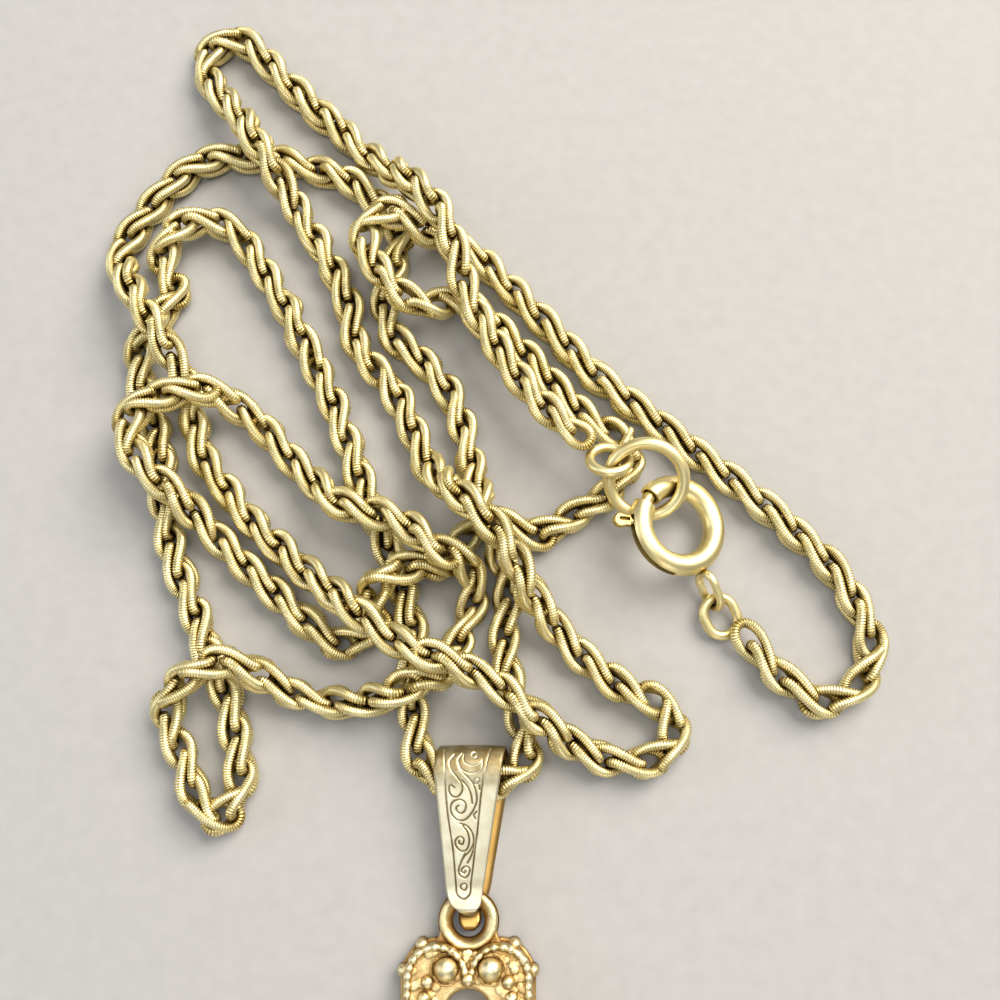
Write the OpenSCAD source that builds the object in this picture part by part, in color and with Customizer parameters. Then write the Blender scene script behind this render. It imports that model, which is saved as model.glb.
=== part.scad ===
// A cross on a rope chain, lying in a tangle as it was dropped on a table.

/* [Chain] */
// Width of the rope chain across the corners of its section
chain_d = 2.2; // [2:0.05:2.2]
// Height from the middle of one strand to the middle of the strand that lies over it
layer_step = 2.4; // [2.35:0.05:2.6]

/* [Spring ring clasp] */
// Diameter of the tube that is bent to the clasp's ring
tube_d = 1.5; // [1.4:0.05:1.5]
// Bore of that tube, in which the gate slides
bore_d = 1.1; // [1.05:0.05:1.2]
// Diameter of the gate's wire
gate_d = 0.84; // [0.7:0.02:0.9]
// Width of the gate's thumb trigger
trigger_w = 1; // [0.8:0.05:1.1]
// Width of the slot that the trigger slides in
slot_w = 0.56; // [0.5:0.02:0.7]
// Wire of the tag loop that is soldered to the clasp
tag_wire = 0.55; // [0.45:0.05:0.6]

/* [Rings] */
// Wire of the large jump ring
large_wire = 0.86; // [0.7:0.02:0.88]
// Wire of the small jump ring
small_wire = 0.68; // [0.5:0.02:0.7]
// Wire of the oval end ring
end_wire = 0.68; // [0.5:0.02:0.7]

/* [Bail] */
// Thickness of the bail's folded strip
strip_t = 0.35; // [0.3:0.05:0.4]
// Width of the strip where it is folded over the chain
bail_top_w = 4.4; // [4:0.1:4.6]
// Width of the strip where it goes round the cross's hanging ring
bail_low_w = 2.4; // [2:0.1:2.5]

/* [Cross] */
// Length of the cross's lower arm, from the middle
lower_arm = 24.75; // [20:0.05:30]
// Length of its side arms, from the middle
side_arm = 13.4; // [10:0.1:16]
// Width of the arms between their ends and the middle
arm_w = 4.8; // [3.5:0.1:6]
// Thickness of the back layer
back_t = 1; // [0.8:0.1:1.4]
// Thickness of the front layer, which is a little smaller all round
front_t = 0.9; // [0.6:0.1:1.2]

/* [Hidden] */
gold = "#cdb463";
warm_gold = "#d8ae52";

// The chain's route, from the clasp's end to the end at the jump rings: x and y in mm, and how many
// strands lie beneath. Between two whole numbers the strand climbs or drops.
route = [
    [18, 5, 0.1], [20, 2.5, 0], [24, 0.5, 0], [26.5, 3.5, 0], [25, 8.5, 0], [21, 13, 0],
    [14.5, 18.5, 0], [8, 24, 0], [3, 29.5, 0], [-2, 34, 0],
    [-4.5, 34.5, 0.7], [-7, 35.5, 1.1], [-8.5, 33.5, 0.8], [-7, 30.5, 1], [-4.5, 28.5, 0.7],
    [-1.5, 29.5, 0], [2, 26.5, 0], [7.5, 20.5, 0], [10.5, 18, 0], [9, 15, 0],
    [6.5, 13.5, 0], [4, 12, 0], [1.5, 13, 0], [-1, 12, 0], [-2.5, 10, 0.1],
    [-4, 9.5, 0.7], [-6, 9, 1], [-7.5, 7.5, 0.4], [-7.5, 5, 0], [-9.5, 4.5, 0],
    [-13, 7, 0], [-18.5, 12, 0], [-21, 14.5, 0.9], [-24, 17.5, 0.9], [-24.5, 20, 0.9],
    [-22, 21.5, 1], [-19.5, 22, 0.9], [-17, 21, 0.1], [-12.5, 16.5, 0], [-9, 13.5, 0.9],
    [-5.5, 12.5, 1.1], [-3, 10.5, 1.5], [-1.5, 10, 1.1], [-0.5, 8, 0], [-1.5, 4.5, 0],
    [-2.5, 2.5, 0.4], [-4.5, 1.5, 1.1], [-7.5, 0.5, 0.4], [-12.5, 1, 0], [-17, 3, 1],
    [-19.5, 2, 0.8], [-21, -0.5, 0], [-19.5, -3.5, 0], [-18.5, -6, 0], [-17, -7, 0],
    [-16, -5, 0], [-16.5, -1, 0], [-19, 5, 0], [-22, 13, 0], [-23, 19, 0],
    [-24.5, 23.5, 0], [-24.5, 27, 0], [-22.5, 30, 0], [-23.5, 33, 0.1], [-22, 35, 0.5],
    [-19, 35.5, 0.1], [-16.5, 32.5, 0], [-11.5, 23.5, 0], [-7.5, 13.5, 0], [-5, 7, 0],
    [-4.5, 0, 0], [-3.5, -4, 0.2], [0, -5, 0.2], [3, -3.5, 0.2], [2.5, 0, 0],
    [1.5, 4.5, 0], [2, 8.5, 0], [1, 11, 0.6], [0.5, 12.5, 1.1], [-0.5, 16, 0.3],
    [-1.5, 20.5, 0], [-3.5, 24, 0], [-6.5, 27, 0], [-7, 31, 0], [-6, 34, 0],
    [-7.5, 37, 0], [-12, 40, 0], [-16, 41, 0], [-20.5, 41, 0], [-25, 36.5, 0],
    [-26.5, 33, 0.1], [-25, 29.5, 0.8], [-23, 26.5, 1], [-21, 22.5, 0], [-20, 18.5, 0],
    [-16, 13, 0], [-11.5, 9, 0.4], [-8.5, 6.5, 1.2], [-5, 4, 1.3], [-2.5, 3, 1.7],
    [0, 2, 1.1], [3, 0, 1], [6.5, -2.5, 0.1], [10, -3.5, 0], [13, -2, 0],
    [12.5, 0, 0], [9.5, 1.5, 0], [5.5, 5, 0.1], [3.5, 7.5, 0.8], [2, 10, 1.6],
    [0.5, 12, 2], [-1.5, 14, 1.8], [-3.5, 16.5, 0.4], [-5, 20, 0], [-6.5, 23, 0],
    [-8.5, 25, 0], [-10, 30, 0], [-14, 37, 0.1], [-16, 40, 1.1], [-18, 43.5, 0.7],
    [-21, 48, 0], [-21, 50.5, 0], [-18.5, 51, 0], [-16, 48.5, 0], [-11, 43.5, 0],
    [-7.5, 40, 0.4], [-5, 37.5, 1.3], [-2.5, 34, 1.5], [-1, 29, 1], [1.5, 24.5, 0.9],
    [4.5, 20.5, 1], [7, 18.5, 1]
];
// The chain is drawn in runs that meet face to face at these points of the route
cuts = [
    0, 3, 9, 12, 16, 19, 24, 28, 34, 37, 42, 46, 51, 54, 59,
    64, 68, 72, 77, 83, 88, 92, 98, 104, 110, 115, 121, 126, 131
];
sides = 8;
rest_z = chain_d / 2 * cos(180 / sides);

// Place and tilt of the clasp and of the three rings, as they lie on one another
clasp_at = [13.5, 12.4, 2.4];
clasp_tilt = [-3, 21, 0];
large_at = [11.3, 15.4, 3.4];
large_tilt = [30, -9, 0];
small_at = [8.8, 16.8, 3.4];
small_tilt = [-34, 0, 0];
end_at = [16.45, 6.35, 0.8];
end_tilt = [0, 15, -62];

// Middle lines of the clasp and the rings
clasp_r = 2.8;
large_r = 2.55;
small_r = 1.35;
end_r = 1.1;
end_straight = 0.5;

// Directions round the clasp, in degrees
mouth_from = 136;
mouth_to = 153;
gate_from = 118;
gate_to = 190;
trigger_at = 180;
slot_from = 172;
slot_to = 262;
tag_at = -61;

tag_r = 0.8;
tag_inner = 3.4;
tag_outer = 6.55;
tag_dip = 14;
trigger_from = 3.7;
trigger_round = 4.45;
trigger_t = 0.56;
stem_d = 0.4;

// The bail's strip, from the tab in the hanging ring's hole round the fold to the tip in front:
// x, y, z of its middle and its width
bail_back = [
    [-0.65, -14.05, 0.56, 0.6],
    [-0.65, -13.8, 0.56, 1.2],
    [-0.65, -13.3, 0.5, 1.5],
    [-0.6, -12.85, 0.26, 1.5],
    [-0.54, -12.3, 0.2, 1.9],
    [-0.44, -11.4, 0.2, bail_low_w - 0.15]
];
bail_front = [
    [-0.97, -11.4, 1.9, bail_low_w],
    [-0.93, -12.05, 1.9, 2.15],
    [-0.88, -12.42, 1.9, 1.85],
    [-0.78, -12.72, 1.8, 1],
    [-0.74, -12.86, 1.42, 0.72],
    [-0.72, -12.86, 1.05, 0.65]
];
fold_y = -3.9;
fold_low_z = 0.2;
fold_top_z = 2.95;
fold_low_x = -0.2;
fold_top_x = -0.8;
fold_steps = 10;

// The cross, flat on its back
cross_at = [-0.72, -27, 0];
upper_arm = 12.35;
lobe_x = 2;
lobe_r = 2.1;
end_len = 7.6;
notch = 0.5;
medallion_r = 4.4;
window_r = 1.36;
window_from = 2.8;
window_len = 3.6;
slit_w = 1.6;
layer_edge = 0.22;
hanging_r = 1.99;
hanging_hole_r = 1.03;
hanging_at = 13.6;
hanging_z = 0.5;
hanging_t = 1.05;
neck_w = 2.6;
boss_x = 1.4;
boss_from = 1.6;
boss_r = 0.6;
bead_r = 0.4;
bead_z = 1.2;
centre_boss_r = 1.7;
eps = 0.01;

$fn = 48;

run_names = [for (i = [1:len(cuts) - 1]) str("chain_run_", i < 10 ? "0" : "", i)];

function unit(v) = v / norm(v);
function place(i) = [route[i][0], route[i][1], rest_z + layer_step * route[i][2]];
function after(i) = unit(place(min(i + 1, len(route) - 1)) - place(min(i, len(route) - 2)));
function before(i) = unit(place(max(i, 1)) - place(max(i - 1, 0)));
function heading(i) = unit(after(i) + before(i));
function across(i) = unit([-heading(i)[1], heading(i)[0], 0]);
function corner(i, k) =
    let (a = (k + 0.5) * 360 / sides, up = cross(heading(i), across(i)))
    place(i) + chain_d / 2 * (cos(a) * across(i) + sin(a) * up);

// One run of the chain, swept along its part of the route
module chain_run(n) {
    first = cuts[n];
    count = cuts[n + 1] - first;
    points = [for (i = [0:count]) for (k = [0:sides - 1]) corner(first + i, k)];
    walls = [
        for (i = [0:count - 1]) for (k = [0:sides - 1])
            let (a = i * sides + k, b = i * sides + (k + 1) % sides)
            each [[a, a + sides, b + sides], [a, b + sides, b]]
    ];
    first_end = [for (k = [0:sides - 1]) k];
    last_end = [for (k = [sides - 1:-1:0]) count * sides + k];
    color(gold) polyhedron(points, concat(walls, [first_end, last_end]), convexity = 6);
}

// A round wire bent to a part of a circle
module bent_wire(r, d, from = 0, to = 360) {
    rotate([0, 0, from]) rotate_extrude(angle = to - from) translate([r, 0]) circle(d = d);
}

// A wire bent to a ring with two straight sides of this length along x
module oval_wire(r, d, straight) {
    for (s = [0, 180]) rotate([0, 0, s]) {
        translate([straight / 2, 0, 0]) bent_wire(r, d, -90, 90);
        translate([-straight / 2, r, 0]) rotate([0, 90, 0]) cylinder(d = d, h = straight);
    }
}

// A block that follows the clasp's ring from one direction to another
module ring_block(r0, r1, h, from, to) {
    rotate([0, 0, from]) rotate_extrude(angle = to - from) translate([r0, -h / 2]) square([r1 - r0, h]);
}

module clasp_body() {
    tag_len = tag_outer - tag_inner;
    tag_straight = tag_len - 2 * tag_r - tag_wire;
    color(gold) translate(clasp_at) rotate(clasp_tilt) {
        difference() {
            bent_wire(clasp_r, tube_d);
            bent_wire(clasp_r, bore_d);
            ring_block(clasp_r - tube_d, clasp_r + tube_d, 2 * tube_d, mouth_from, mouth_to);
            ring_block(clasp_r, clasp_r + tube_d, slot_w, slot_from, slot_to);
        }
        rotate([0, 0, tag_at]) translate([tag_inner, 0, 0]) rotate([90, tag_dip, 0])
            translate([tag_len / 2, 0, 0]) oval_wire(tag_r, tag_wire, tag_straight);
    }
}

module clasp_gate() {
    color(gold) translate(clasp_at) rotate(clasp_tilt) {
        bent_wire(clasp_r, gate_d, gate_from, gate_to);
        rotate([0, 0, trigger_at]) {
            translate([clasp_r, 0, 0]) rotate([0, 90, 0]) cylinder(d = stem_d, h = trigger_round - clasp_r);
            translate([trigger_from, -trigger_w / 2, -trigger_t / 2])
                cube([trigger_round - trigger_from, trigger_w, trigger_t]);
            translate([trigger_round, 0, -trigger_t / 2]) cylinder(d = trigger_w, h = trigger_t);
        }
    }
}

module end_ring() {
    color(gold) translate(end_at) rotate(end_tilt) oval_wire(end_r, end_wire, end_straight);
}

module large_jump_ring() {
    color(gold) translate(large_at) rotate(large_tilt) bent_wire(large_r, large_wire);
}

module small_jump_ring() {
    color(gold) translate(small_at) rotate(small_tilt) bent_wire(small_r, small_wire);
}

function fold_point(i) =
    let (t = i / fold_steps, r = (fold_top_z - fold_low_z) / 2)
    [
        fold_low_x + (fold_top_x - fold_low_x) * t,
        fold_y + r * sin(180 * t),
        (fold_top_z + fold_low_z) / 2 - r * cos(180 * t),
        bail_top_w
    ];
bail_strip = concat(bail_back, [for (i = [0:fold_steps]) fold_point(i)], bail_front);
function strip_heading(i) =
    let (
        a = bail_strip[max(i - 1, 0)],
        b = bail_strip[min(i + 1, len(bail_strip) - 1)]
    )
    unit([0, b[1] - a[1], b[2] - a[2]]);
// The four corners of the strip's section: two on its inner face, two on its outer face
function strip_corners(i) =
    let (
        p = bail_strip[i],
        h = strip_heading(i),
        out = [0, h[2], -h[1]] * strip_t / 2,
        half = [p[3] / 2, 0, 0],
        m = [p[0], p[1], p[2]]
    )
    [m - half - out, m + half - out, m + half + out, m - half + out];

module bail() {
    count = len(bail_strip) - 1;
    points = [for (i = [0:count]) each strip_corners(i)];
    walls = [
        for (i = [0:count - 1]) for (k = [0:3])
            let (a = 4 * i + k, b = 4 * i + (k + 1) % 4)
            each [[a, b + 4, a + 4], [a, b, b + 4]]
    ];
    last = 4 * count;
    color(gold) polyhedron(points, concat(walls, [[3, 2, 1, 0], [last, last + 1, last + 2, last + 3]]));
}

// A slot with round ends, its upper end at y
module round_slot(w, y, length) {
    for (end = [y - w / 2, y - length + w / 2]) translate([0, end]) circle(d = w);
    translate([-w / 2, y - length + w / 2]) square([w, length - w]);
}

// Outline of one arm along +y, with its end in two round lobes; edge makes it wider all round
module arm_outline(length, edge) {
    wide = lobe_x + lobe_r + edge;
    low = length - end_len + lobe_r;
    translate([-arm_w / 2 - edge, 0]) square([arm_w + 2 * edge, length - end_len + lobe_r]);
    for (s = [-1, 1], y = [length - lobe_r, low]) translate([s * lobe_x, y]) circle(lobe_r + edge);
    translate([-wide, low]) square([2 * wide, end_len - 2 * lobe_r]);
    translate([-lobe_x, low - lobe_r - edge]) square([2 * lobe_x, end_len - notch + edge]);
}

module arm_windows(length) {
    round_slot(2 * window_r, length - window_from, window_len);
    bar = length - end_len - medallion_r;
    if (bar > 4) round_slot(slit_w, length - end_len - 1, bar - 2);
}

// Each arm's turn and length
arms = [[0, upper_arm], [90, side_arm], [180, lower_arm], [270, side_arm]];

module cross_layer(edge) {
    difference() {
        union() {
            circle(medallion_r + edge);
            for (a = arms) rotate(a[0]) arm_outline(a[1], edge);
        }
        for (a = arms) rotate(a[0]) arm_windows(a[1]);
    }
}

module hanging_ring() {
    difference() {
        union() {
            cylinder(r = hanging_r, h = hanging_t);
            translate([-neck_w / 2, -hanging_r - 0.6, 0]) cube([neck_w, hanging_r, hanging_t]);
        }
        translate([0, 0, -eps]) cylinder(r = hanging_hole_r, h = hanging_t + 2 * eps);
    }
}

module cross_pendant() {
    color(warm_gold) translate(cross_at) {
        linear_extrude(back_t) cross_layer(layer_edge);
        translate([0, 0, back_t]) linear_extrude(front_t) cross_layer(0);
        translate([0, hanging_at, hanging_z]) hanging_ring();
        for (a = arms) rotate(a[0]) for (s = [-1, 1]) {
            translate([s * boss_x, a[1] - boss_from, back_t + front_t]) sphere(boss_r);
            translate([s * (lobe_x + 0.95), a[1] - 0.2, bead_z]) sphere(bead_r);
            translate([s * (lobe_x + lobe_r), a[1] - 1.75, bead_z]) sphere(bead_r);
        }
        translate([0, 0, back_t + front_t]) sphere(centre_boss_r);
    }
}

for (i = [0:len(run_names) - 1]) chain_run(i);
clasp_body();
clasp_gate();
end_ring();
large_jump_ring();
small_jump_ring();
bail();
cross_pendant();  // cross
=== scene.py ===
import math

import bpy
import numpy as np
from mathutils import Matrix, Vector
from mathutils.geometry import tessellate_polygon


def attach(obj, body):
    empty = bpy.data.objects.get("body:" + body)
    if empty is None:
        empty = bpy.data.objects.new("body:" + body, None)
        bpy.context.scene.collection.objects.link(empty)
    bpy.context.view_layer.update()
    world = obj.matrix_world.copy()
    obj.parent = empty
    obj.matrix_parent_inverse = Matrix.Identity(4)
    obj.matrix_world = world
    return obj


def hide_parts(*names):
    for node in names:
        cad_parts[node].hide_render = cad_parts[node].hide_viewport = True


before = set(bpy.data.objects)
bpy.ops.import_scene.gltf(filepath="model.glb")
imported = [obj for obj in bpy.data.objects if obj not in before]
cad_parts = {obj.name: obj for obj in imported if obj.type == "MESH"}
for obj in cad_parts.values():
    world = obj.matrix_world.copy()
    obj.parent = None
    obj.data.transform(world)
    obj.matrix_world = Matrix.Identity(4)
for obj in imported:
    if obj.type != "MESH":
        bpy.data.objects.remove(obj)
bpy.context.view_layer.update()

mm = 0.001
print("frame loaded")

scene = bpy.context.scene


def newObject(name, data):
    made = bpy.data.objects.new(name, data)
    scene.collection.objects.link(made)
    return made


# Camera: almost straight down on the floor, from the side where the cross lies
view = {
    "aim": (1.3, 14.8, 0),  # mm, the point of the floor in the middle of the picture
    "distance": 85.2,  # mm
    "elevation": 76,  # degrees above the horizon
    "lens": 43.2, "sensor": 36,  # mm
    "clip": (0.001, 20),  # m, the nearest and the farthest that it sees
}
elevation = math.radians(view["elevation"])
towardsCamera = np.array([0, -math.cos(elevation), math.sin(elevation)])
camera = newObject("camera", bpy.data.cameras.new("camera"))
camera.location = (np.array(view["aim"]) + view["distance"] * towardsCamera) * mm
camera.rotation_euler = (math.pi / 2 - elevation, 0, 0)
camera.data.lens = view["lens"]
camera.data.sensor_width = view["sensor"]
camera.data.clip_start, camera.data.clip_end = view["clip"]
scene.camera = camera
scene.view_settings.view_transform = "Standard"  # keeps the gold's yellow in its highlights


def toLinear(hexColour):
    # An sRGB hex colour as linear red, green, blue and alpha
    parts = [int(hexColour[i:i + 2], 16) / 255 for i in (1, 3, 5)]
    return [p / 12.92 if p <= 0.04045 else ((p + 0.055) / 1.055) ** 2.4 for p in parts] + [1.0]


def addNode(tree, kind, settings=None, links=None, output=0):
    # Settings are values of the node or of its sockets, and links are outputs that its sockets take
    node = tree.nodes.new("ShaderNode" + kind)
    for name, value in (settings or {}).items():
        if name == "stops":
            elements = node.color_ramp.elements
            while len(elements) < len(value):
                elements.new(0.5)
            for element, (place, colour) in zip(elements, value):
                element.position = place
                element.color = toLinear(colour)
        elif isinstance(name, int) or not hasattr(node, name):
            node.inputs[name].default_value = value
        else:
            setattr(node, name, value)
    for name, source in (links or {}).items():
        tree.links.new(source, node.inputs[name])
    return node.outputs[output]


def noiseNode(tree, place, size, settings):
    # Noise with patches of a size in mm
    return addNode(tree, "TexNoise", {"Scale": 1 / (size * mm), **settings}, {"Vector": place})


def newMaterial(name):
    material = bpy.data.materials.new(name)
    material.use_nodes = True
    return material, material.node_tree, material.node_tree.nodes["Principled BSDF"]


studio = {
    "floorSize": 3.0,  # m
    "cardStops": [(0.3, "#a3a2a0"), (0.7, "#a8a7a5")],
    "cardGrain": 1.2,  # mm
    "cardNoise": {"Detail": 3.0}, "cardRoughness": 0.85,
    "world": ("#eef0f4", 0.32),
    # name: place in m, size in m, watts, colour
    "lamps": {
        "keyWindow": ((0.24, 0.24, 0.36), 0.40, 4.4, "#fff8ee"),
        "topSheet": ((-0.06, -0.02, 0.52), 0.34, 0.9, "#ffffff"),
        "leftFill": ((-0.42, 0.02, 0.20), 0.24, 0.5, "#eef3ff"),
        "frontFill": ((0.05, -0.48, 0.24), 0.24, 0.5, "#fff6ea"),
    },
}

# Card sprayed with matte grey paint: an even floor with hardly any gloss, which the lamps make pale
cardMaterial, tree, shader = newMaterial("sprayedMatteCard")
place = addNode(tree, "TexCoord", output="Object")
grain = noiseNode(tree, place, studio["cardGrain"], studio["cardNoise"])
card = addNode(tree, "ValToRGB", {"stops": studio["cardStops"]}, {"Fac": grain})
tree.links.new(card, shader.inputs["Base Color"])
shader.inputs["Roughness"].default_value = studio["cardRoughness"]

half = studio["floorSize"] / 2
floorMesh = bpy.data.meshes.new("floor")
floorCorners = [(-half, -half, 0), (half, -half, 0), (half, half, 0), (-half, half, 0)]
floorMesh.from_pydata(floorCorners, [], [(0, 1, 2, 3)])
floor = newObject("floor", floorMesh)
floor.data.materials.append(cardMaterial)

world = bpy.data.worlds.new("studio")
world.use_nodes = True
worldColour, worldStrength = studio["world"]
background = world.node_tree.nodes["Background"].inputs
background["Color"].default_value = toLinear(worldColour)
background["Strength"].default_value = worldStrength
scene.world = world

for name, (spot, size, watts, colour) in studio["lamps"].items():
    lamp = newObject(name, bpy.data.lights.new(name, "AREA"))
    lamp.data.size = size
    lamp.data.energy = watts
    lamp.data.color = toLinear(colour)[:3]
    lamp.location = spot
    lamp.rotation_euler = (-Vector(spot)).to_track_quat("-Z", "Y").to_euler()
print("camera, floor and light")


# Mesh helpers. A part is a dictionary of points in mm, lists of faces, and what the metal reads from each
# point: how far it has tarnished or is painted darker as painted shade, and how deep it lies in a groove.

def madePart(points, faces, tarnish=0.0, groove=0.0):
    points = np.asarray(points, float)
    return {
        "points": points,
        "faces": [np.asarray(f, np.int32) for f in faces if len(f)],
        "tarnish": np.broadcast_to(np.asarray(tarnish, float), len(points)),
        "groove": np.broadcast_to(np.asarray(groove, float), len(points)),
    }


def joinedParts(parts):
    starts = np.cumsum([0] + [len(p["points"]) for p in parts])
    joined = {key: np.concatenate([p[key] for p in parts]) for key in ("points", "tarnish", "groove")}
    joined["faces"] = [f + start for p, start in zip(parts, starts) for f in p["faces"]]
    return joined


def meshPiece(name, part, materials, body="necklace", inner=None):
    # One visible piece. Quads are smooth, and inner says which faces take the second material
    mesh = bpy.data.meshes.new(name)
    mesh.vertices.add(len(part["points"]))
    mesh.vertices.foreach_set("co", (part["points"] * mm).astype(np.float32).ravel())
    corners = np.concatenate([f.ravel() for f in part["faces"]])
    sizes = np.concatenate([np.full(len(f), f.shape[1]) for f in part["faces"]])
    mesh.loops.add(len(corners))
    mesh.loops.foreach_set("vertex_index", corners)
    mesh.polygons.add(len(sizes))
    mesh.polygons.foreach_set("loop_start", (np.cumsum(sizes) - sizes).astype(np.int32))
    mesh.polygons.foreach_set("use_smooth", sizes == 4)
    if inner is not None:
        mesh.polygons.foreach_set("material_index", inner(part).astype(np.int32))
    mesh.update(calc_edges=True)
    mesh.validate()
    for label in ("tarnish", "groove"):
        layer = mesh.attributes.new(label, "FLOAT", "POINT")
        layer.data.foreach_set("value", part[label].astype(np.float32))
    for material in materials:
        mesh.materials.append(material)
    piece = newObject(name, mesh)
    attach(piece, body)
    print(name, "with", int(np.sum(sizes - 2)), "triangles")
    return piece


def smoothStep(low, high, value):
    t = np.clip((value - low) / (high - low), 0, 1)
    return t * t * (3 - 2 * t)


def unit(v):
    return v / np.maximum(np.linalg.norm(v, axis=-1, keepdims=True), 1e-9)


def lengthAlong(points):
    return np.concatenate([[0], np.cumsum(np.linalg.norm(np.diff(points, axis=0), axis=1))])


def curveThrough(points, steps):
    # A smooth line through the points, with the given number of steps from each to the next
    points = np.asarray(points, float)
    ahead = np.vstack([2 * points[:1] - points[1:2], points, 2 * points[-1:] - points[-2:-1]])
    rows = []
    t = (np.arange(steps) / steps)[:, None]
    for i in range(len(points) - 1):
        p0, p1, p2, p3 = ahead[i:i + 4]
        d1, d2, d3 = (np.linalg.norm(b - a) + 1e-9 for a, b in ((p0, p1), (p1, p2), (p2, p3)))
        m1 = d2 * ((p2 - p1) / d2 * d1 + (p1 - p0) / d1 * d2) / (d1 + d2)
        m2 = d2 * ((p3 - p2) / d3 * d2 + (p2 - p1) / d2 * d3) / (d2 + d3)
        rows.append((2 * t**3 - 3 * t**2 + 1) * p1 + (t**3 - 2 * t**2 + t) * m1
                    + (3 * t**2 - 2 * t**3) * p2 + (t**3 - t**2) * m2)
    return np.vstack(rows + [points[-1:]])


def polar(radius, turn, centre=(0, 0)):
    return np.column_stack([centre[0] + radius * np.cos(turn), centre[1] + radius * np.sin(turn)])


def ringWalls(rings, across, closed=False):
    # The quads between rings of points that follow one another
    j, k = np.meshgrid(np.arange(rings if closed else rings - 1), np.arange(across), indexing="ij")
    a, b = j * across, (j + 1) % rings * across
    kn = (k + 1) % across
    return np.stack([a + k, a + kn, b + kn, b + k], axis=-1).reshape(-1, 4)


wireEnd = {"reach": 0.5, "taper": 0.55}  # shares of the wire's radius, at each rounded end


def sweptTube(path, radius, sides, tarnish=0.0):
    # A round wire along a path, rounded off at its ends
    path = np.asarray(path, float)
    radius = np.broadcast_to(np.asarray(radius, float), len(path))
    heading = unit(np.gradient(path, axis=0))
    first = path[0] - heading[0] * radius[0] * wireEnd["reach"]
    last = path[-1] + heading[-1] * radius[-1] * wireEnd["reach"]
    path = np.vstack([first, path, last])
    heading = np.vstack([heading[:1], heading, heading[-1:]])
    radius = np.concatenate([radius[:1] * wireEnd["taper"], radius, radius[-1:] * wireEnd["taper"]])
    aside = unit(np.cross(heading, [0, 0, 1.0]) + [1e-6, 0, 0])
    rise = np.cross(aside, heading)
    turn = 2 * np.pi * np.arange(sides) / sides
    c, s = np.cos(turn)[:, None], np.sin(turn)[:, None]
    rings = path[:, None] + radius[:, None, None] * (c * aside[:, None] + s * rise[:, None])
    lastRing = (len(path) - 1) * sides
    faces = [ringWalls(len(path), sides), np.arange(sides)[None, ::-1], lastRing + np.arange(sides)[None]]
    return madePart(rings.reshape(-1, 3), faces, tarnish)


def turnedPart(profile, at, steps, closed=False, tarnish=0.0):
    # A section turned about an upright axis: a closed ring, or a solid whose section ends on the axis
    profile = np.asarray(profile, float)
    turn = 2 * np.pi * np.arange(steps) / steps
    inner = profile if closed else profile[1:-1]
    rings = np.stack([at[0] + inner[:, :1] * np.cos(turn), at[1] + inner[:, :1] * np.sin(turn),
                      np.repeat(inner[:, 1:], steps, axis=1)], axis=-1).reshape(-1, 3)
    faces = [ringWalls(len(inner), steps, closed)]
    profileDarkening = np.broadcast_to(np.asarray(tarnish, float), len(profile))
    darkening = np.repeat(profileDarkening if closed else profileDarkening[1:-1], steps)
    if not closed:
        k = np.arange(steps)
        top, low = len(rings), len(rings) + 1
        rings = np.vstack([rings, (*at, profile[0, 1]), (*at, profile[-1, 1])])
        darkening = np.append(darkening, [profileDarkening[0], profileDarkening[-1]])
        lastRing = (len(inner) - 1) * steps
        faces.append(np.stack([np.full(steps, top), (k + 1) % steps, k], axis=-1))
        faces.append(np.stack([np.full(steps, low), lastRing + k, lastRing + (k + 1) % steps], axis=-1))
    return madePart(rings, faces, darkening)


# The brown of the foot begins and is full at heights in shares of the radius
ball = {"steps": 14, "rows": 9, "footDarkening": 0.5, "footBand": (0.35, -0.35)}


def ballPart(centre, radius, tarnish):
    # A grain of metal, brown round its foot
    turn = np.radians(np.linspace(90, -90, ball["rows"]))
    profile = polar(radius, turn, (0, centre[2]))
    darkening = tarnish + ball["footDarkening"] * smoothStep(*ball["footBand"], np.sin(turn))
    return turnedPart(profile, centre[:2], ball["steps"], tarnish=darkening)


def platePart(loops, levels, tarnish):
    # A flat plate. The first loop is its outline and the others are holes, all anticlockwise. Each level says
    # how far the edge has drawn in, and its height.
    points, faces, ends, start = [], [], [], 0
    for number, loop in enumerate(loops):
        loop = np.asarray(loop, float)
        along = unit(np.roll(loop, -1, axis=0) - np.roll(loop, 1, axis=0))
        outward = np.column_stack([along[:, 1], -along[:, 0]]) * (1 if number == 0 else -1)
        rings = [np.column_stack([loop - outward * inset, np.full(len(loop), z)]) for inset, z in levels]
        walls = ringWalls(len(levels), len(loop)) + start
        faces.append(walls if number == 0 else walls[:, ::-1])
        ends.append((start, start + (len(levels) - 1) * len(loop), len(loop)))
        points.append(np.vstack(rings))
        start += len(levels) * len(loop)
    points = np.vstack(points)
    for top in (False, True):
        rows = [np.arange(size) + (high if top else low) for low, high, size in ends]
        outlines = [[Vector((*points[i, :2], 0)) for i in row] for row in rows]
        cap = np.concatenate(rows)[np.array(tessellate_polygon(outlines))]
        a, b, c = (points[cap[:, i], :2] for i in range(3))
        facing = np.sign((b - a)[:, 0] * (c - a)[:, 1] - (b - a)[:, 1] * (c - a)[:, 0])
        wrong = facing < 0 if top else facing > 0
        cap[wrong] = cap[wrong][:, ::-1]
        faces.append(cap)
    return madePart(points, faces, tarnish)


# What all the metals share, with the samples of the painted shade in cavities. The range is the noise where
# blotches begin and are full
patinaAndShade = {
    "cavityShadeSamples": 6,
    "blotch": {"Detail": 4.0, "Roughness": 0.6}, "blotchRange": {"From Min": 0.35, "From Max": 0.7},
    "scratch": {"Detail": 5.0, "Roughness": 0.7},
}


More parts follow.
